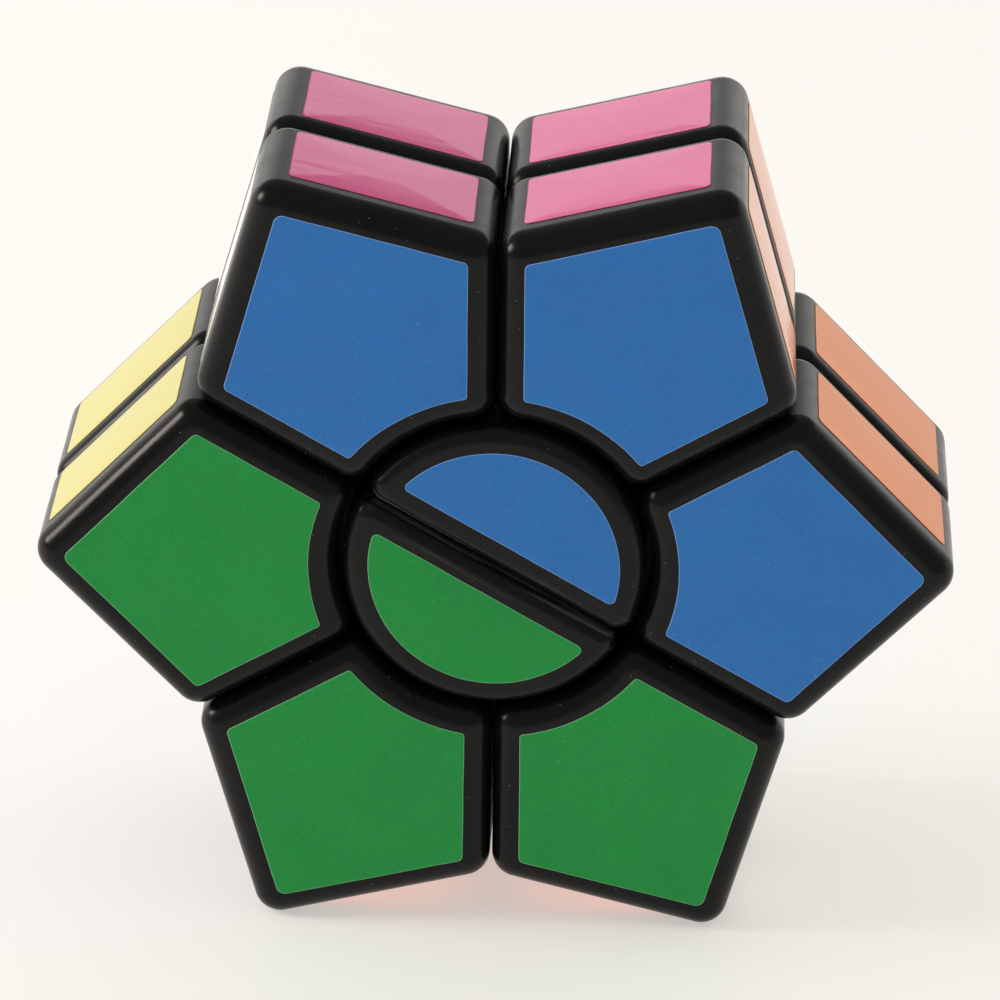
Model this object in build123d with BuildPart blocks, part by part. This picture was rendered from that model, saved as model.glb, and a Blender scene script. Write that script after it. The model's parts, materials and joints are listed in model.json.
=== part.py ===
"""Two-layer star twisty puzzle: twelve petals round a split core, with three turning motions.

The puzzle stands on two petal tips. +Z is up, the front face looks towards -Y, and the main
axis runs along Y through the origin, which is the centre of the whole puzzle. Petals sit every
60 degrees round the main axis. A flat cut through the main axis parts the puzzle into half A
and half B, and half B also turns about the screw that crosses that cut at right angles.
"""
from build123d import *
from math import acos, asin, cos, degrees, radians, sin, tan
import os

os.makedirs("parts", exist_ok=True)

FRONT = 1
REAR = -1
LAYERS = {"front": FRONT, "rear": REAR}

# Overall shape (millimetres and degrees)
HALF_THICKNESS = 18.0      # one layer, from the middle plane to its face
TIP_RADIUS = 45.75         # main axis to a petal's tip, before the tip is rounded
VALLEY_RADIUS = 33.9       # main axis to the valley between two petals
SECTOR = 60.0              # angle that one petal takes up
CUT_NORMAL = 60.0          # direction of the screw, from +X towards +Z
PETAL_GAP = 0.2            # between petals, and between the two layers
CORE_GAP = 0.12            # between the two halves of the core, across the cut
CLEARANCE = 0.3            # between a petal's foot and the core it slides on

# Petal housings
TIP_ROUND = 2.6
SIDE_ROUND = 2.7
INNER_ROUND = 2.55
FACE_ROUND = 2.5
MIDDLE_ROUND = 1.9
WALL = 2.2
ROOF = 2.2
CAVITY_ROUND = 0.65        # at the valleys, inside the housing
PETAL_BORE = 15.4          # radius of the petal's hollow edge round the centre cap
POST_X = 31.0
POST_RADIUS = 2.4
SOCKET_RADIUS = 4.0
SOCKET_DEPTH = 7.0

# Petal bases with their hooked feet
BASE_PLAY = 0.1
BASE_THICKNESS = 2.0
BASE_ROUND = 1.3
FOOT_OUTER = 19.0

# Core and centre caps
COLUMN_RADIUS = 9.0
COLUMN_HEIGHT = 14.0
FLANGE_RADIUS = 12.0
FLANGE_HEIGHT = 1.2
CAP_RADIUS = 14.8
CAP_CORNER = 1.9
CAP_ROUND = 1.8
SKIRT_BORE = 12.7
SKIRT_HEIGHT = 11.5
PEG_RADIUS = 1.5
PEG_LENGTH = 5.0
PEG_X = 4.2
PEG_Y = 4.6

# Screw, washer and spring across the cut
SCREW_RADIUS = 1.5
SCREW_END = 7.6
SCREW_CHAMFER = 0.5
SCREW_HOLE_END = 8.0
BEARING_RADIUS = 1.56
POCKET_RADIUS = 3.4
POCKET_FLOOR = 3.2
WASHER_RADIUS = 3.0
WASHER_THICKNESS = 0.5
HEAD_RADIUS = 2.8
HEAD_START = 6.7
HEAD_END = 8.3
HEAD_ROUND = 0.4
RECESS_WIDTH = 0.8
RECESS_LENGTH = 3.2
RECESS_DEPTH = 0.9
WIRE_RADIUS = 0.28
COIL_RADIUS = 2.25
COIL_PITCH = 0.95

# Stickers
STICKER_BORDER = 2.6
STICKER_THICKNESS = 0.15
FACE_STICKER_ROUNDS = (0.9, 0.65, 0.4)     # at the tip, the valleys and the inner edge
CAP_STICKER_RADIUS = 12.3
CAP_STICKER_ROUND = 0.6
SIDE_STICKER_ROUND = 0.6
SIDE_STICKER_START = 2.9   # from the petal's sharp tip, along its side
SIDE_STICKER_LENGTH = 18.3
SIDE_STICKER_LOW = 2.2     # above the middle plane
SIDE_STICKER_HIGH = {FRONT: 14.3, REAR: 15.3}

# Worked out from the dimensions above
HALF_SECTOR = radians(SECTOR / 2)
VALLEY_X = VALLEY_RADIUS * cos(HALF_SECTOR)
VALLEY_Y = VALLEY_RADIUS * sin(HALF_SECTOR)
SLOPE = VALLEY_Y / (TIP_RADIUS - VALLEY_X)
SLOPE_LENGTH = (1 + SLOPE**2) ** 0.5
HALF_PETAL_GAP = PETAL_GAP / 2
HALF_CORE_GAP = CORE_GAP / 2
FOOT_BORE = COLUMN_RADIUS + CLEARANCE
TOE_RADIUS = SKIRT_BORE - CLEARANCE
TOE_HEIGHT = COLUMN_HEIGHT - CLEARANCE
FOOT_HEIGHT = SKIRT_HEIGHT - CLEARANCE
ROOF_HEIGHT = HALF_THICKNESS - ROOF

HALF_ANGLES = {"a": CUT_NORMAL, "b": CUT_NORMAL + 180}
PETALS = {
    "a": {"right": 0, "upper_right": 60, "upper_left": 120},
    "b": {"left": 180, "lower_left": 240, "lower_right": 300},
}
# Each side sticker is named by its petal's angle and by the way that its side faces:
# 1 towards larger angles, -1 towards smaller ones.
SIDE_COLOURS = {
    "a": {
        "white": [(120, 1)],
        "pink": [(120, -1), (60, 1)],
        "orange": [(60, -1), (0, 1)],
        "yellow": [(0, -1)],
    },
    "b": {
        "yellow": [(180, -1)],
        "purple": [(180, 1), (240, -1)],
        "red": [(240, 1), (300, -1)],
        "white": [(300, 1)],
    },
}


def save(builder, name):
    """Label one finished piece and write it to its own file."""
    builder.part.label = name
    export_step(builder.part, f"parts/{name}.step")


def layer_plane(angle, layer):
    """Middle plane seen from one layer: local X along the angle, local Z out of that face."""
    turn = radians(angle)
    return Plane(origin=(0, 0, 0), x_dir=(cos(turn), 0, sin(turn)), z_dir=(0, -layer, 0))


def screw_plane(angle):
    """Plane of the cut, with local Z along the screw and out of the half at the angle."""
    turn = radians(angle)
    return Plane(origin=(0, 0, 0), x_dir=(0, 1, 0), z_dir=(cos(turn), 0, sin(turn)))


def side_plane(angle, side):
    """Plane of one outer side of a petal: origin at its sharp tip, local X towards the valley."""
    turn = radians(angle)
    radial = Vector(cos(turn), 0, sin(turn))
    across = Vector(-sin(turn), 0, cos(turn)) * side
    along = (across * SLOPE - radial) * (1 / SLOPE_LENGTH)
    outward = (radial * SLOPE + across) * (1 / SLOPE_LENGTH)
    return Plane(origin=radial * TIP_RADIUS, x_dir=along, z_dir=outward)


def petal_outline(inset, bore, rounds):
    """Kite with a hollow inner edge, its axis along X, drawn inset inside a petal's full outline."""
    gap = HALF_PETAL_GAP + inset
    tip_x = TIP_RADIUS - inset * SLOPE_LENGTH / SLOPE
    corner_x = (tip_x * SLOPE + gap / cos(HALF_SECTOR)) / (tan(HALF_SECTOR) + SLOPE)
    corner_y = (tip_x - corner_x) * SLOPE
    arc_end = degrees(HALF_SECTOR - asin(gap / bore))
    tip_round, side_round, inner_round = rounds
    with BuildSketch() as outline:
        with BuildLine():
            edge = CenterArc((0, 0), bore, -arc_end, 2 * arc_end)
            Polyline(edge @ 1, (corner_x, corner_y), (tip_x, 0), (corner_x, -corner_y), edge @ 0)
        make_face()
        fillet(outline.vertices().group_by(Axis.X)[-1], tip_round)
        fillet(outline.vertices().group_by(Axis.X)[-2], side_round)
        if inner_round:
            fillet(outline.vertices().group_by(Axis.X)[0], inner_round)
    return outline.sketch


def half_disc(radius, inset, corner_round=0.0):
    """Half of a disc on the +X side, its straight edge moved away from the middle by inset."""
    arc_end = degrees(acos(inset / radius))
    with BuildSketch() as disc:
        with BuildLine():
            edge = CenterArc((0, 0), radius, -arc_end, 2 * arc_end)
            Line(edge @ 1, edge @ 0)
        make_face()
        if corner_round:
            fillet(disc.vertices(), corner_round)
    return disc.sketch


def make_shell(name, angle, layer):
    """Hollow petal housing, open towards the middle plane and below its inner lip."""
    plane = layer_plane(angle, layer)
    with BuildPart() as shell:
        with BuildSketch(plane.offset(HALF_PETAL_GAP)):
            add(petal_outline(0, PETAL_BORE, (TIP_ROUND, SIDE_ROUND, INNER_ROUND)))
        extrude(amount=HALF_THICKNESS - HALF_PETAL_GAP)
        face_edges = shell.faces().sort_by(Axis(plane.origin, plane.z_dir))[-1].edges()
        fillet(face_edges, FACE_ROUND)
        middle_edges = shell.faces().sort_by(Axis(plane.origin, plane.z_dir))[0].edges()
        fillet(middle_edges, MIDDLE_ROUND)
        with BuildSketch(plane.offset(HALF_PETAL_GAP)):
            add(petal_outline(WALL, PETAL_BORE + WALL, (TIP_ROUND - WALL, CAVITY_ROUND, 0)))
        extrude(amount=ROOF_HEIGHT - HALF_PETAL_GAP, mode=Mode.SUBTRACT)
        with BuildSketch(plane.offset(HALF_PETAL_GAP)):
            add(petal_outline(WALL, COLUMN_RADIUS, (TIP_ROUND - WALL, CAVITY_ROUND, 0)))
            Circle(PETAL_BORE + 2 * WALL, mode=Mode.INTERSECT)
        extrude(amount=SKIRT_HEIGHT - HALF_PETAL_GAP, mode=Mode.SUBTRACT)
        with BuildSketch(plane.offset(ROOF_HEIGHT)):
            with Locations((POST_X, 0)):
                Circle(SOCKET_RADIUS)
                Circle(POST_RADIUS + BASE_PLAY, mode=Mode.SUBTRACT)
        extrude(amount=-SOCKET_DEPTH)
    save(shell, name)


def make_base(name, angle, layer):
    """Plate that closes a petal, with the hooked foot that the core and its cap hold."""
    plane = layer_plane(angle, layer)
    outline = petal_outline(WALL + BASE_PLAY, FOOT_BORE, (BASE_ROUND, BASE_ROUND, 0))
    with BuildPart() as base:
        with BuildSketch(plane.offset(HALF_PETAL_GAP)):
            add(outline)
        extrude(amount=BASE_THICKNESS)
        with BuildSketch(plane.offset(HALF_PETAL_GAP)):
            add(outline)
            Circle(FOOT_OUTER, mode=Mode.INTERSECT)
        extrude(amount=FOOT_HEIGHT - HALF_PETAL_GAP)
        with BuildSketch(plane.offset(HALF_PETAL_GAP)):
            add(outline)
            Circle(TOE_RADIUS, mode=Mode.INTERSECT)
        extrude(amount=TOE_HEIGHT - HALF_PETAL_GAP)
        with BuildSketch(plane.offset(HALF_PETAL_GAP)):
            with Locations((POST_X, 0)):
                Circle(POST_RADIUS)
        extrude(amount=ROOF_HEIGHT - HALF_PETAL_GAP)
        with BuildSketch(plane):
            Circle(FLANGE_RADIUS + CLEARANCE)
        extrude(amount=FLANGE_HEIGHT + CLEARANCE, mode=Mode.SUBTRACT)
    save(base, name)


def make_core(name, angle, bored_for_head):
    """Half of the column that the petals turn on, with half of the flange between the layers."""
    with BuildPart() as core:
        with BuildSketch(layer_plane(angle, FRONT).offset(-COLUMN_HEIGHT)):
            add(half_disc(COLUMN_RADIUS, HALF_CORE_GAP))
        extrude(amount=2 * COLUMN_HEIGHT)
        with BuildSketch(layer_plane(angle, FRONT).offset(-FLANGE_HEIGHT)):
            add(half_disc(FLANGE_RADIUS, HALF_CORE_GAP))
        extrude(amount=2 * FLANGE_HEIGHT)
        for layer in LAYERS.values():
            with BuildSketch(layer_plane(angle, layer).offset(COLUMN_HEIGHT)):
                with Locations((PEG_X, PEG_Y), (PEG_X, -PEG_Y)):
                    Circle(PEG_RADIUS)
            extrude(amount=-PEG_LENGTH, mode=Mode.SUBTRACT)
        if bored_for_head:
            with BuildSketch(screw_plane(angle)):
                Circle(BEARING_RADIUS)
            extrude(amount=POCKET_FLOOR, mode=Mode.SUBTRACT)
            with BuildSketch(screw_plane(angle).offset(POCKET_FLOOR)):
                Circle(POCKET_RADIUS)
            extrude(amount=FLANGE_RADIUS, mode=Mode.SUBTRACT)
        else:
            with BuildSketch(screw_plane(angle)):
                Circle(SCREW_RADIUS)
            extrude(amount=SCREW_HOLE_END, mode=Mode.SUBTRACT)
    save(core, name)


def make_cap(name, angle, layer):
    """Half-round centre cap, with the skirt that hooks the petals and two pegs into the core."""
    plane = layer_plane(angle, layer)
    outline = half_disc(CAP_RADIUS, HALF_CORE_GAP, CAP_CORNER)
    with BuildPart() as cap:
        with BuildSketch(plane.offset(COLUMN_HEIGHT)):
            add(outline)
        extrude(amount=HALF_THICKNESS - COLUMN_HEIGHT)
        fillet(cap.faces().sort_by(Axis(plane.origin, plane.z_dir))[-1].edges(), CAP_ROUND)
        with BuildSketch(plane.offset(SKIRT_HEIGHT)):
            add(outline)
            Circle(SKIRT_BORE, mode=Mode.SUBTRACT)
        extrude(amount=COLUMN_HEIGHT - SKIRT_HEIGHT)
        with BuildSketch(plane.offset(COLUMN_HEIGHT)):
            with Locations((PEG_X, PEG_Y), (PEG_X, -PEG_Y)):
                Circle(PEG_RADIUS)
        extrude(amount=-PEG_LENGTH)
    save(cap, name)


def make_cap_sticker(name, angle, layer):
    """Half-round sticker on a centre cap."""
    with BuildPart() as sticker:
        with BuildSketch(layer_plane(angle, layer).offset(HALF_THICKNESS)):
            add(half_disc(CAP_STICKER_RADIUS, HALF_CORE_GAP + STICKER_BORDER, CAP_STICKER_ROUND))
        extrude(amount=STICKER_THICKNESS)
    save(sticker, name)


def make_face_stickers(name, angles, layer):
    """Kite-shaped stickers on the faces of one half's petals in one layer."""
    outline = petal_outline(STICKER_BORDER, PETAL_BORE + STICKER_BORDER, FACE_STICKER_ROUNDS)
    with BuildPart() as stickers:
        for angle in angles:
            with BuildSketch(layer_plane(angle, layer).offset(HALF_THICKNESS)):
                add(outline)
            extrude(amount=STICKER_THICKNESS)
    save(stickers, name)


def make_side_stickers(name, sides, layer):
    """Stickers of one colour on the outer sides of one half's petals in one layer."""
    middle_x = SIDE_STICKER_START + SIDE_STICKER_LENGTH / 2
    middle_y = (SIDE_STICKER_LOW + SIDE_STICKER_HIGH[layer]) / 2
    height = SIDE_STICKER_HIGH[layer] - SIDE_STICKER_LOW
    with BuildPart() as stickers:
        for angle, side in sides:
            with BuildSketch(side_plane(angle, side)):
                with Locations((middle_x, middle_y * side * layer)):
                    RectangleRounded(SIDE_STICKER_LENGTH, height, SIDE_STICKER_ROUND)
            extrude(amount=STICKER_THICKNESS)
    save(stickers, name)


# Petals and their stickers
for layer_name, layer in LAYERS.items():
    for half, petals in PETALS.items():
        for petal_name, angle in petals.items():
            make_shell(f"{layer_name}_{petal_name}_shell", angle, layer)
            make_base(f"{layer_name}_{petal_name}_base", angle, layer)
        make_face_stickers(f"{layer_name}_{half}_face_stickers", petals.values(), layer)
        for colour, sides in SIDE_COLOURS[half].items():
            make_side_stickers(f"{layer_name}_{half}_{colour}_stickers", sides, layer)

# Core halves, centre caps and their stickers
make_core("core_half_a", HALF_ANGLES["a"], False)
make_core("core_half_b", HALF_ANGLES["b"], True)
for layer_name, layer in LAYERS.items():
    for half, angle in HALF_ANGLES.items():
        make_cap(f"{layer_name}_cap_{half}", angle, layer)
        make_cap_sticker(f"{layer_name}_cap_{half}_sticker", angle, layer)

# Screw: threaded into half A, its head in the pocket of half B
HEAD_SIDE = screw_plane(HALF_ANGLES["b"])
with BuildPart() as screw:
    with BuildSketch(HEAD_SIDE.offset(-SCREW_END)):
        Circle(SCREW_RADIUS)
    extrude(amount=SCREW_END + HEAD_START)
    chamfer(screw.faces().sort_by(Axis(HEAD_SIDE.origin, HEAD_SIDE.z_dir))[0].edges(), SCREW_CHAMFER)
    with BuildSketch(HEAD_SIDE.offset(HEAD_START)):
        Circle(HEAD_RADIUS)
    extrude(amount=HEAD_END - HEAD_START)
    fillet(screw.faces().sort_by(Axis(HEAD_SIDE.origin, HEAD_SIDE.z_dir))[-1].edges(), HEAD_ROUND)
    with BuildSketch(HEAD_SIDE.offset(HEAD_END)):
        Rectangle(RECESS_LENGTH, RECESS_WIDTH)
        Rectangle(RECESS_WIDTH, RECESS_LENGTH)
    extrude(amount=-RECESS_DEPTH, mode=Mode.SUBTRACT)
save(screw, "slash_screw")

# Washer on the floor of the pocket
with BuildPart() as washer:
    with BuildSketch(HEAD_SIDE.offset(POCKET_FLOOR)):
        Circle(WASHER_RADIUS)
        Circle(BEARING_RADIUS, mode=Mode.SUBTRACT)
    extrude(amount=WASHER_THICKNESS)
save(washer, "slash_washer")

# Spring between the washer and the screw's head
COIL_START = POCKET_FLOOR + WASHER_THICKNESS + WIRE_RADIUS
COIL_END = HEAD_START - WIRE_RADIUS
with BuildPart() as spring:
    with BuildLine() as coil:
        Helix(
            pitch=COIL_PITCH,
            height=COIL_END - COIL_START,
            radius=COIL_RADIUS,
            center=HEAD_SIDE.offset(COIL_START).origin,
            direction=HEAD_SIDE.z_dir,
        )
    with BuildSketch(Plane(origin=coil.line @ 0, z_dir=coil.line % 0)):
        Circle(WIRE_RADIUS)
    sweep(path=coil.line)
save(spring, "slash_spring")
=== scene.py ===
"""Looks of the two-layer star twisty puzzle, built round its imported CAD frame."""
import bmesh
import bpy
import json
import math
import random
from mathutils import Matrix, Vector, noise


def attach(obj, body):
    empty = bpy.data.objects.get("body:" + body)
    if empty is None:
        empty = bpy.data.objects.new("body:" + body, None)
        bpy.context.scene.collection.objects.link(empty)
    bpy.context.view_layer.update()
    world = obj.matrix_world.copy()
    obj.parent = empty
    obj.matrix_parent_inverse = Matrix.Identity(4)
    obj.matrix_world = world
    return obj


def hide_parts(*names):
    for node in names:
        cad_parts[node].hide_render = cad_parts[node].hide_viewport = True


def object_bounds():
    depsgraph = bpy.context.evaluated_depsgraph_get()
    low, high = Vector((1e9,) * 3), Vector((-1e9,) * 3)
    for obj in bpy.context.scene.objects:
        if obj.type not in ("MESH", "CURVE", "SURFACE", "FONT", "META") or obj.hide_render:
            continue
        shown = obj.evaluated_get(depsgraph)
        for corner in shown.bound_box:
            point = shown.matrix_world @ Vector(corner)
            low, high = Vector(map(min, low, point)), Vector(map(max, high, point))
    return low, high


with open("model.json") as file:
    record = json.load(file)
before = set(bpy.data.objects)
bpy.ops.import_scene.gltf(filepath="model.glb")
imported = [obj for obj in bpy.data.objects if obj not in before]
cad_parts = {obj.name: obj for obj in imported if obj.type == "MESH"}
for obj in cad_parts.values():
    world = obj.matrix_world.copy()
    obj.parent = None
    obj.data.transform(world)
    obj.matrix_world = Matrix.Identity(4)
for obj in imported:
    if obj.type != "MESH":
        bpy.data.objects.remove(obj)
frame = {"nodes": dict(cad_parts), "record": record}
cad_low, cad_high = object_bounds()

MM = 0.001
CENTRE = (cad_low + cad_high) / 2
FLOOR_Z = cad_low.z
RECORD = frame["record"]
SLOTS = {row["node"]: row["material_slot"] for row in RECORD["subparts"]}
BODIES = {node: body for body, nodes in RECORD["behaviour"]["bodies"].items() for node in nodes}

# Camera, at the photograph's angle
CAMERA_AZIMUTH = 2.06
CAMERA_ELEVATION = 23.99
CAMERA_ROLL = 0.70
CAMERA_DISTANCE = 0.5897
CAMERA_LENS = 212.25
SENSOR_WIDTH = 36.0
CLIP_START, CLIP_END = 0.05, 20.0
CAMERA_AIM = CENTRE + Vector((-0.09, 0.0, -0.63)) * MM


def make_camera():
    """Camera with no shift, turned about its own axis by the roll."""
    azimuth, elevation = math.radians(CAMERA_AZIMUTH), math.radians(CAMERA_ELEVATION)
    back = Vector((
        math.sin(azimuth) * math.cos(elevation),
        -math.cos(azimuth) * math.cos(elevation),
        math.sin(elevation),
    ))
    data = bpy.data.cameras.new("camera")
    data.sensor_width = SENSOR_WIDTH
    data.lens = CAMERA_LENS
    data.clip_start = CLIP_START
    data.clip_end = CLIP_END
    camera = bpy.data.objects.new("camera", data)
    bpy.context.scene.collection.objects.link(camera)
    turn = back.to_track_quat("Z", "Y").to_matrix().to_4x4()
    roll = Matrix.Rotation(math.radians(CAMERA_ROLL), 4, "Z")
    camera.matrix_world = Matrix.Translation(CAMERA_AIM + back * CAMERA_DISTANCE) @ turn @ roll
    bpy.context.scene.camera = camera


# Helpers for materials
def new_material(name):
    """Material with only an output and a Principled shader, with its tree and its shader."""
    material = bpy.data.materials.new(name)
    material.use_nodes = True
    tree = material.node_tree
    tree.nodes.clear()
    output = tree.nodes.new("ShaderNodeOutputMaterial")
    shader = tree.nodes.new("ShaderNodeBsdfPrincipled")
    tree.links.new(shader.outputs["BSDF"], output.inputs["Surface"])
    return material, tree, shader


def mapping_node(tree, stretch=(1.0, 1.0, 1.0), turn=0.0):
    """Coordinates of the row's own frame, turned about Y and then scaled along each axis."""
    coordinates = tree.nodes.new("ShaderNodeTexCoord")
    turned = tree.nodes.new("ShaderNodeMapping")
    turned.inputs["Rotation"].default_value = (0.0, math.radians(turn), 0.0)
    tree.links.new(coordinates.outputs["Object"], turned.inputs["Vector"])
    scaled = tree.nodes.new("ShaderNodeMapping")
    scaled.inputs["Scale"].default_value = stretch
    tree.links.new(turned.outputs["Vector"], scaled.inputs["Vector"])
    return scaled.outputs["Vector"]


def noise_node(tree, scale, detail=4.0, roughness=0.55, vector=None):
    """Noise at a scale in cycles per metre."""
    node = tree.nodes.new("ShaderNodeTexNoise")
    node.inputs["Scale"].default_value = scale
    node.inputs["Detail"].default_value = detail
    node.inputs["Roughness"].default_value = roughness
    tree.links.new(vector or mapping_node(tree), node.inputs["Vector"])
    return node.outputs["Fac"]


def ramp_node(tree, source, low, high):
    """Maps a 0 to 1 value through two stops, each a position and a value or colour."""
    node = tree.nodes.new("ShaderNodeValToRGB")
    for element, (position, value) in zip(node.color_ramp.elements, (low, high)):
        element.position = position
        element.color = (*value, 1.0) if isinstance(value, tuple) else (value, value, value, 1.0)
    tree.links.new(source, node.inputs["Fac"])
    return node.outputs["Color"]


def bump_node(tree, height, strength, distance, normal=None):
    """Bump from a height, over a distance in metres."""
    node = tree.nodes.new("ShaderNodeBump")
    node.inputs["Strength"].default_value = strength
    node.inputs["Distance"].default_value = distance
    tree.links.new(height, node.inputs["Height"])
    if normal is not None:
        tree.links.new(normal, node.inputs["Normal"])
    return node.outputs["Normal"]


def mix_node(tree, factor, first, second, blend="MIX"):
    """Colour mix of two sources by a factor."""
    node = tree.nodes.new("ShaderNodeMix")
    node.data_type = "RGBA"
    node.blend_type = blend
    for source, socket in ((factor, node.inputs[0]), (first, node.inputs[6]), (second, node.inputs[7])):
        if isinstance(source, bpy.types.NodeSocket):
            tree.links.new(source, socket)
        elif isinstance(source, tuple):
            socket.default_value = (*source, 1.0)
        else:
            socket.default_value = source
    return node.outputs[2]


def scaled_colour(colour, share):
    """Colour made darker or lighter by a share."""
    return tuple(min(1.0, channel * share) for channel in colour)


def lighter(colour, share):
    """Colour moved towards white by a share."""
    return tuple(channel + (1.0 - channel) * share for channel in colour)


# Materials: scales in cycles per metre, heights of bumps in metres
DUST = (0.22, 0.215, 0.20)
SCUFF = (0.075, 0.073, 0.07)
SPECK_SCALE, PATCH_SCALE = 800.0, 210.0
SPECK_EDGE = (0.03, 0.055)          # where a speck starts and has ended, in cells from its middle
PLASTIC_PATCHES = (0.38, 0.48)
FILM_PATCHES = (0.55, 0.62)
CUT_TURN = 60.0                     # turns the screw's direction onto X
CUT_REACH = 2.4 * MM                # either side of the cut that turning has rubbed
CUT_EDGE = 0.3                      # share of that reach which is rubbed evenly
SCUFF_STRETCH = (1500.0, 400.0, 45.0)
STREAK_STRETCH = (70.0, 520.0, 70.0)
PLASTIC_IOR, FILM_IOR, PRINT_IOR = 1.28, 1.43, 1.34
FILM_ROUGHNESS, PRINT_ROUGHNESS = 0.09, 0.5
FILM_CONTRAST, PRINT_CONTRAST = 0.03, 0.075
WAVE_HEIGHT, STREAK_HEIGHT, GRAIN_HEIGHT = 0.06 * MM, 0.03 * MM, 0.01 * MM


def dust_mask(tree, start, end):
    """Sparse specks of dust, gathered where slow noise passes from the start to the end value."""
    cells = tree.nodes.new("ShaderNodeTexVoronoi")
    cells.inputs["Scale"].default_value = SPECK_SCALE
    tree.links.new(mapping_node(tree), cells.inputs["Vector"])
    speck = ramp_node(tree, cells.outputs["Distance"], (SPECK_EDGE[0], 1.0), (SPECK_EDGE[1], 0.0))
    patches = noise_node(tree, PATCH_SCALE, detail=2.0)
    where = ramp_node(tree, patches, (start, 0.0), (end, 1.0))
    return mix_node(tree, 1.0, speck, where, "MULTIPLY")


def scuff_mask(tree):
    """Streaks along the cut, close beside it."""
    along_cut = mapping_node(tree, SCUFF_STRETCH, CUT_TURN)
    streaks = noise_node(tree, 1.0, detail=3.0, vector=along_cut)
    marks = ramp_node(tree, streaks, (0.56, 0.0), (0.70, 1.0))
    split = tree.nodes.new("ShaderNodeSeparateXYZ")
    tree.links.new(mapping_node(tree, turn=CUT_TURN), split.inputs[0])
    distance = tree.nodes.new("ShaderNodeMath")
    distance.operation = "ABSOLUTE"
    tree.links.new(split.outputs["X"], distance.inputs[0])
    near = tree.nodes.new("ShaderNodeMapRange")
    near.inputs["From Min"].default_value = CUT_EDGE * CUT_REACH
    near.inputs["From Max"].default_value = CUT_REACH
    near.inputs["To Min"].default_value = 1.0
    near.inputs["To Max"].default_value = 0.0
    tree.links.new(distance.outputs[0], near.inputs["Value"])
    return mix_node(tree, 1.0, marks, near.outputs["Result"], "MULTIPLY")


def plastic(name, colour, roughness, scuffed=False):
    """Moulded black plastic: faint clouds, moulded grain, hairline rubs, dust and scuffs."""
    material, tree, shader = new_material(name)
    shader.inputs["IOR"].default_value = PLASTIC_IOR
    clouds = noise_node(tree, 90.0)
    tint = ramp_node(tree, clouds, (0.3, scaled_colour(colour, 0.75)), (0.7, scaled_colour(colour, 1.3)))
    dusty = mix_node(tree, dust_mask(tree, *PLASTIC_PATCHES), tint, DUST)
    if scuffed:
        dusty = mix_node(tree, scuff_mask(tree), dusty, SCUFF)
    tree.links.new(dusty, shader.inputs["Base Color"])
    rub = noise_node(tree, 260.0, detail=6.0, roughness=0.65)
    rough = ramp_node(tree, rub, (0.3, roughness - 0.06), (0.75, roughness + 0.08))
    tree.links.new(rough, shader.inputs["Roughness"])
    wave = bump_node(tree, noise_node(tree, 170.0, detail=2.0), 0.22, WAVE_HEIGHT)
    grain = bump_node(tree, noise_node(tree, 4200.0, detail=2.0), 0.30, GRAIN_HEIGHT, wave)
    tree.links.new(grain, shader.inputs["Normal"])
    return material


def vinyl(name, colour, roughness, glossy):
    """Coloured film. The matt faces have a print grain, and the glossy sides have drawn streaks."""
    material, tree, shader = new_material(name)
    shader.inputs["IOR"].default_value = FILM_IOR if glossy else PRINT_IOR
    grain = noise_node(tree, 3000.0, detail=3.0, roughness=0.7)
    contrast = FILM_CONTRAST if glossy else PRINT_CONTRAST
    dark, light = scaled_colour(colour, 1.0 - contrast), scaled_colour(colour, 1.0 + contrast)
    grained = ramp_node(tree, grain, (0.32, dark), (0.68, light))
    cloudy = ramp_node(tree, noise_node(tree, 120.0, detail=3.0), (0.3, 0.95), (0.7, 1.0))
    tint = mix_node(tree, 1.0, grained, cloudy, "MULTIPLY")
    dusty = mix_node(tree, dust_mask(tree, *FILM_PATCHES), tint, lighter(colour, 0.35))
    tree.links.new(dusty, shader.inputs["Base Color"])
    rub = noise_node(tree, 300.0, detail=5.0)
    rough = ramp_node(tree, rub, (0.3, roughness * 0.85), (0.7, roughness * 1.2))
    tree.links.new(rough, shader.inputs["Roughness"])
    if glossy:
        streaks = noise_node(tree, 1.0, detail=2.0, vector=mapping_node(tree, STREAK_STRETCH))
        wave = bump_node(tree, streaks, 0.50, STREAK_HEIGHT)
        fine = bump_node(tree, grain, 0.03, GRAIN_HEIGHT, wave)
    else:
        wave = bump_node(tree, noise_node(tree, 140.0, detail=1.0), 0.12, WAVE_HEIGHT)
        fine = bump_node(tree, grain, 0.45, GRAIN_HEIGHT, wave)
    tree.links.new(fine, shader.inputs["Normal"])
    return material


def steel(name, colour, roughness):
    """Plated or drawn steel with fine drawing marks."""
    material, tree, shader = new_material(name)
    shader.inputs["Metallic"].default_value = 1.0
    marks = noise_node(tree, 1800.0, detail=3.0)
    tint = ramp_node(tree, marks, (0.3, scaled_colour(colour, 0.85)), (0.7, colour))
    tree.links.new(tint, shader.inputs["Base Color"])
    rough = ramp_node(tree, marks, (0.3, roughness * 0.7), (0.7, roughness * 1.3))
    tree.links.new(rough, shader.inputs["Roughness"])
    tree.links.new(bump_node(tree, marks, 0.3, GRAIN_HEIGHT), shader.inputs["Normal"])
    return material


STICKER_COLOURS = {
    "blue": (0.030, 0.205, 0.60),
    "green": (0.012, 0.34, 0.06),
    "white": (0.80, 0.79, 0.76),
    "pink": (0.72, 0.105, 0.29),
    "orange": (0.98, 0.24, 0.006),
    "yellow": (0.72, 0.645, 0.145),
    "purple": (0.13, 0.04, 0.17),
    "red": (0.85, 0.15, 0.02),
}
MATT_COLOURS = ("blue", "green")

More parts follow.
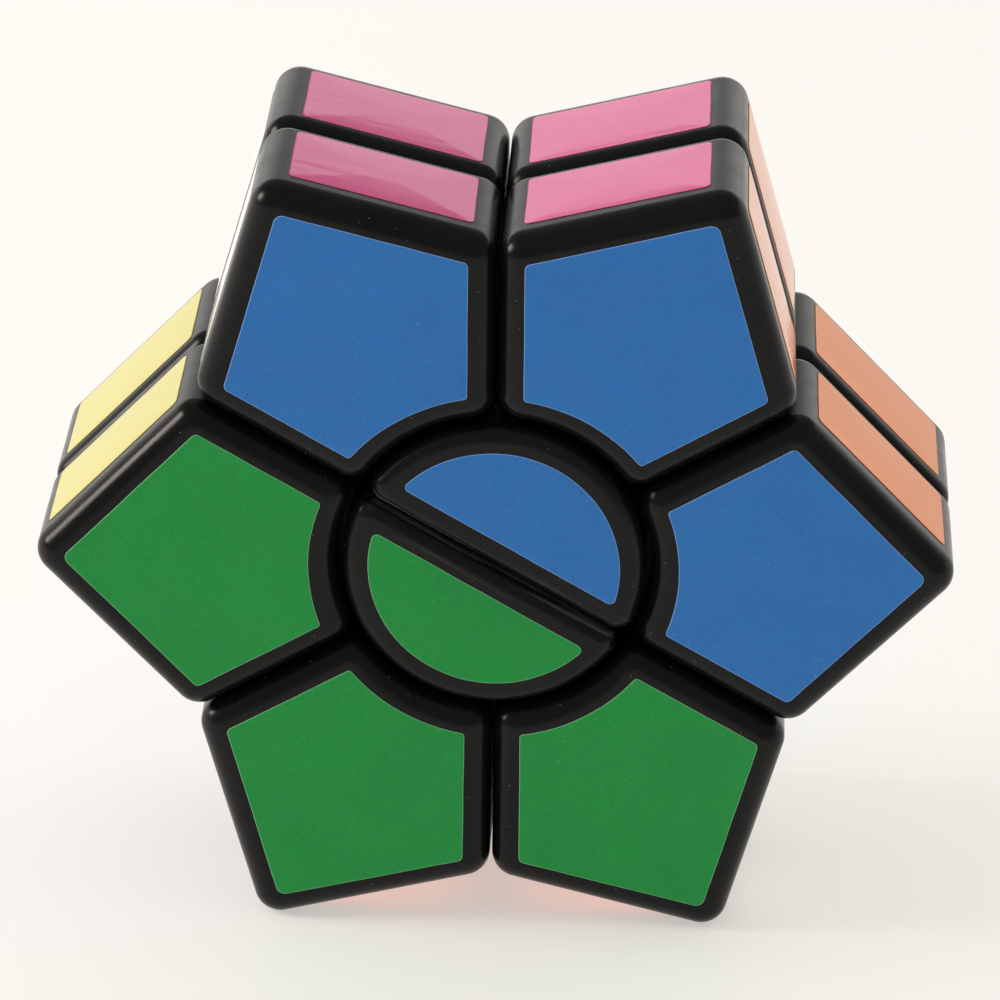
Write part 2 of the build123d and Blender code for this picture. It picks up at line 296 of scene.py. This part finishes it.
SURFACES = {
    "black_shell": plastic("black_shell", (0.0052, 0.0053, 0.0052), 0.24),
    "black_base": plastic("black_base", (0.016, 0.016, 0.015), 0.5),
    "black_core": plastic("black_core", (0.014, 0.014, 0.0135), 0.45),
    "screw_steel": steel("screw_steel", (0.62, 0.62, 0.63), 0.3),
    "spring_steel": steel("spring_steel", (0.5, 0.5, 0.51), 0.25),
}
# Rim materials for the stickers' cut edges: matt films get a painted highlight (a lighter rim), glossy
# films get painted shade (a darker rim).
PAINTED_RIM_SURFACES = {}
for colour_name, colour in STICKER_COLOURS.items():
    glossy = colour_name not in MATT_COLOURS
    roughness = FILM_ROUGHNESS if glossy else PRINT_ROUGHNESS
    slot = f"{colour_name}_sticker"
    SURFACES[slot] = vinyl(slot, colour, roughness, glossy)
    if glossy:
        # painted shade: the glossy film's rim is painted darker than the film
        painted_rim_colour = scaled_colour(colour, 0.8)
    else:
        # painted highlight: the matt film's rim is painted lighter than the print
        painted_rim_colour = lighter(scaled_colour(colour, 1.3), 0.18)
    PAINTED_RIM_SURFACES[slot] = vinyl(f"{slot}_edge", painted_rim_colour, PRINT_ROUGHNESS, glossy)

for node, part in frame["nodes"].items():
    part.data.materials.clear()
    part.data.materials.append(SURFACES[SLOTS[node]])
cap_surface = plastic("black_cap", (0.0060, 0.0061, 0.0060), 0.26, scuffed=True)
for node in ("front_cap_a", "front_cap_b", "rear_cap_a", "rear_cap_b"):
    frame["nodes"][node].data.materials[0] = cap_surface


# Stickers, cut and laid by hand: each replaces one plain solid of its CAD node
PETAL_NAMES = ("right", "upper_right", "upper_left", "left", "lower_left", "lower_right")
SAME_PLANE = 0.99           # least cosine between the normals of one flat face
WELD = 0.0005 * MM
STEP = 0.3 * MM             # between points along a sticker's outline
FILM = 0.15 * MM            # thickness
CROWN = 0.08 * MM           # how far the film's border sinks below its middle
WANDER = 0.05 * MM          # how far the cut strays from its line
WANDER_STEP, NICK_STEP = 4.0 * MM, 0.7 * MM
NICK_LEVEL = 0.45           # noise above this level is a nick in the cut
SHIFT = 0.10 * MM
TWIST = 0.30                # degrees
EDGE_ROWS = ((0.0, 0.0), (0.0, 0.55), (0.03, 0.88))     # millimetres inwards, share of the border's height
COLOUR_ROWS = ((0.07, 1.0), (0.2, 1.0))
INNER_ROWS = (0.92, 0.78, 0.6, 0.4, 0.2)                # size relative to the outline


def split_islands(work):
    """Groups of faces that are joined to each other."""
    seen = set()
    groups = []
    for first in work.faces:
        if first.index in seen:
            continue
        seen.add(first.index)
        group = [first]
        for face in group:
            for edge in face.edges:
                for other in edge.link_faces:
                    if other.index not in seen:
                        seen.add(other.index)
                        group.append(other)
        groups.append(group)
    return groups


def outer_outline(group):
    """Points round the outer flat face of one plain sticker, and that face's normal."""
    normal = max(group, key=lambda face: face.calc_area()).normal.copy()
    if normal.dot(group[0].calc_center_median()) < 0:
        normal.negate()
    flat = [face for face in group if face.normal.dot(normal) > SAME_PLANE]
    following = {}
    for face in flat:
        for loop in face.loops:
            if sum(other in flat for other in loop.edge.link_faces) == 1:
                following[loop.vert] = loop.link_loop_next.vert
    start = min(following, key=lambda vert: vert.index)
    points = [start.co.copy()]
    vert = following[start]
    while vert != start:
        points.append(vert.co.copy())
        vert = following[vert]
    return points, normal


def read_outlines(part):
    """Outlines and normals of all the plain stickers in one CAD node."""
    work = bmesh.new()
    work.from_mesh(part.data)
    bmesh.ops.remove_doubles(work, verts=work.verts, dist=WELD)
    work.normal_update()
    work.faces.index_update()
    work.verts.index_update()
    outlines = [outer_outline(group) for group in split_islands(work)]
    work.free()
    return outlines


def refine(points):
    """The same outline with a point at least every step."""
    refined = []
    for point, after in zip(points, points[1:] + points[:1]):
        count = max(1, math.ceil((after - point).length / STEP))
        refined += [point.lerp(after, index / count) for index in range(count)]
    return refined


def sticker_name(node, centre):
    """Name of one sticker from its node and the petal that it is on."""
    if "cap" in node:
        return f"{node}_film"
    layer, _, kind = node.split("_", 2)
    petal = PETAL_NAMES[round(math.degrees(math.atan2(centre.z, centre.x)) / 60) % len(PETAL_NAMES)]
    return f"{layer}_{petal}_{kind.removesuffix('s')}"


def make_sticker(node, points, normal):
    """Thin film with a rounded rim and a slightly crowned face; its cut edge is painted lighter on matt
    films as a painted highlight, and darker on glossy films as painted shade.
    """
    points = refine(points)
    centre = sum(points, Vector()) / len(points)
    name = sticker_name(node, centre)
    chance = random.Random(name)
    seed = Vector([chance.uniform(-50, 50) for _ in range(3)])
    base = centre - normal * FILM
    across = normal.cross(Vector((0, 1, 0)))
    if across.length < 0.5:
        across = Vector((1, 0, 0))
    slide = across.normalized() * chance.uniform(-SHIFT, SHIFT)
    twist = Matrix.Rotation(math.radians(chance.uniform(-TWIST, TWIST)), 3, normal)
    inward = []
    for before, after in zip(points[-1:] + points[:-1], points[1:] + points[:1]):
        inward.append(normal.cross(after - before).normalized())
    cut = []
    for point, way in zip(points, inward):
        slow = noise.noise(point / WANDER_STEP + seed)
        nick = max(0.0, noise.noise(point / NICK_STEP + seed) - NICK_LEVEL)
        stray = WANDER * (0.6 + 0.8 * slow - 1.2 * nick)
        cut.append(base + slide + twist @ (point - centre + way * stray))
    inward = [twist @ way for way in inward]
    middle = base + slide

    border = FILM - CROWN
    rows = []
    for inset, share in EDGE_ROWS + COLOUR_ROWS:
        rows.append([point + way * inset * MM + normal * border * share for point, way in zip(cut, inward)])
    for size in INNER_ROWS:
        height = FILM - CROWN * size ** 2
        rows.append([middle + (point - middle) * size + normal * height for point in cut])
    verts = [point for row in rows for point in row] + [middle + normal * FILM, middle]
    top, bottom = len(verts) - 2, len(verts) - 1

    count = len(cut)
    faces, slots = [], []
    for row in range(len(rows) - 1):
        for index in range(count):
            after = (index + 1) % count
            low, high = row * count, (row + 1) * count
            faces.append((low + index, low + after, high + after, high + index))
            # the cut rim's rows and the underside take the rim material, with its painted highlight on matt
            # films and painted shade on glossy films
            slots.append(1 if row < len(EDGE_ROWS) else 0)
    last = (len(rows) - 1) * count
    for index in range(count):
        after = (index + 1) % count
        faces += [(last + index, last + after, top), (after, index, bottom)]
        slots += [0, 1]
    mesh = bpy.data.meshes.new(name)
    mesh.from_pydata(verts, [], faces)
    mesh.materials.append(SURFACES[SLOTS[node]])
    mesh.materials.append(PAINTED_RIM_SURFACES[SLOTS[node]])
    mesh.polygons.foreach_set("material_index", slots)
    mesh.polygons.foreach_set("use_smooth", [True] * len(faces))
    mesh.update()
    piece = bpy.data.objects.new(name, mesh)
    bpy.context.scene.collection.objects.link(piece)
    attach(piece, BODIES[node])
    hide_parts(node)


# Floor and light
FLOOR_REACH = 6.0                   # metres from the middle to each side
FLOOR_TONES = (0.515, 0.53)
FLOOR_GLOW, FLOOR_GLOW_STRENGTH = (1.0, 0.965, 0.905), 0.50
DIM, BRIGHT = 0.30, 1.25            # radiance of the surroundings, and of their low band behind the puzzle
BAND_TOP = (0.352, 0.362)           # sine of the elevation over which the band fades
BAND_SIDES = (-0.1, 0.3)            # how far behind, as a direction's Y, it fades in
LIGHT_TINT, WINDOW_TINT = (1.0, 0.985, 0.96), (1.0, 0.93, 0.84)
SUN_PLACE, SUN_POWER, SUN_ANGLE = (-0.1, 0.35, 0.9), 1.1, 110
WINDOW_PLACE, WINDOW_POWER, WINDOW_SIZE = (-0.82, -0.03, 0.39), 4.4, 0.30


def make_floor():
    """Plain pale floor, faintly lit from below, wide enough to fill every view."""
    material, tree, shader = new_material("floor")
    tint = ramp_node(tree, noise_node(tree, 3.0), (0.3, FLOOR_TONES[0]), (0.7, FLOOR_TONES[1]))
    tree.links.new(tint, shader.inputs["Base Color"])
    shader.inputs["Roughness"].default_value = 0.6
    shader.inputs["Emission Color"].default_value = (*FLOOR_GLOW, 1.0)
    shader.inputs["Emission Strength"].default_value = FLOOR_GLOW_STRENGTH
    mesh = bpy.data.meshes.new("floor")
    signs = ((-1, -1), (1, -1), (1, 1), (-1, 1))
    corners = [(x * FLOOR_REACH, y * FLOOR_REACH, FLOOR_Z) for x, y in signs]
    mesh.from_pydata(corners, [], [(0, 1, 2, 3)])
    mesh.materials.append(material)
    floor = bpy.data.objects.new("floor", mesh)
    bpy.context.scene.collection.objects.link(floor)


def add_light(name, kind, place, power, colour):
    """Light at a place, looking at the puzzle's centre."""
    data = bpy.data.lights.new(name, kind)
    data.energy = power
    data.color = colour
    light = bpy.data.objects.new(name, data)
    bpy.context.scene.collection.objects.link(light)
    light.location = place
    light.rotation_mode = "QUATERNION"
    light.rotation_quaternion = Vector(place).to_track_quat("Z", "Y")
    return light


def range_node(tree, source, start, end):
    """Smooth step from one value of the source to another; the ends may be in either order."""
    node = tree.nodes.new("ShaderNodeMapRange")
    node.interpolation_type = "SMOOTHSTEP"
    node.inputs["From Min"].default_value = min(start, end)
    node.inputs["From Max"].default_value = max(start, end)
    node.inputs["To Min"].default_value = 0.0 if start < end else 1.0
    node.inputs["To Max"].default_value = 1.0 if start < end else 0.0
    tree.links.new(source, node.inputs["Value"])
    return node.outputs["Result"]


def make_world():
    """Dim surroundings with a bright low band behind the puzzle."""
    world = bpy.data.worlds.new("studio")
    bpy.context.scene.world = world
    world.use_nodes = True
    tree = world.node_tree
    tree.nodes.clear()
    output = tree.nodes.new("ShaderNodeOutputWorld")
    background = tree.nodes.new("ShaderNodeBackground")
    coordinates = tree.nodes.new("ShaderNodeTexCoord")
    split = tree.nodes.new("ShaderNodeSeparateXYZ")
    tree.links.new(coordinates.outputs["Generated"], split.inputs[0])
    low = range_node(tree, split.outputs["Z"], BAND_TOP[1], BAND_TOP[0])
    behind = range_node(tree, split.outputs["Y"], *BAND_SIDES)
    band = mix_node(tree, 1.0, low, behind, "MULTIPLY")
    strength = ramp_node(tree, band, (0.0, DIM / BRIGHT), (1.0, 1.0))
    tinted = mix_node(tree, 1.0, strength, LIGHT_TINT, "MULTIPLY")
    tree.links.new(tinted, background.inputs["Color"])
    background.inputs["Strength"].default_value = BRIGHT
    tree.links.new(background.outputs["Background"], output.inputs["Surface"])


make_camera()
for node, part in list(frame["nodes"].items()):
    if "sticker" in node:
        for points, normal in read_outlines(part):
            make_sticker(node, points, normal)
make_floor()
make_world()
overhead = add_light("overhead", "SUN", SUN_PLACE, SUN_POWER, LIGHT_TINT)
overhead.data.angle = math.radians(SUN_ANGLE)
overhead.visible_glossy = False
window = add_light("window", "AREA", WINDOW_PLACE, WINDOW_POWER, WINDOW_TINT)
window.data.size = WINDOW_SIZE
bpy.context.scene.view_settings.view_transform = "Standard"
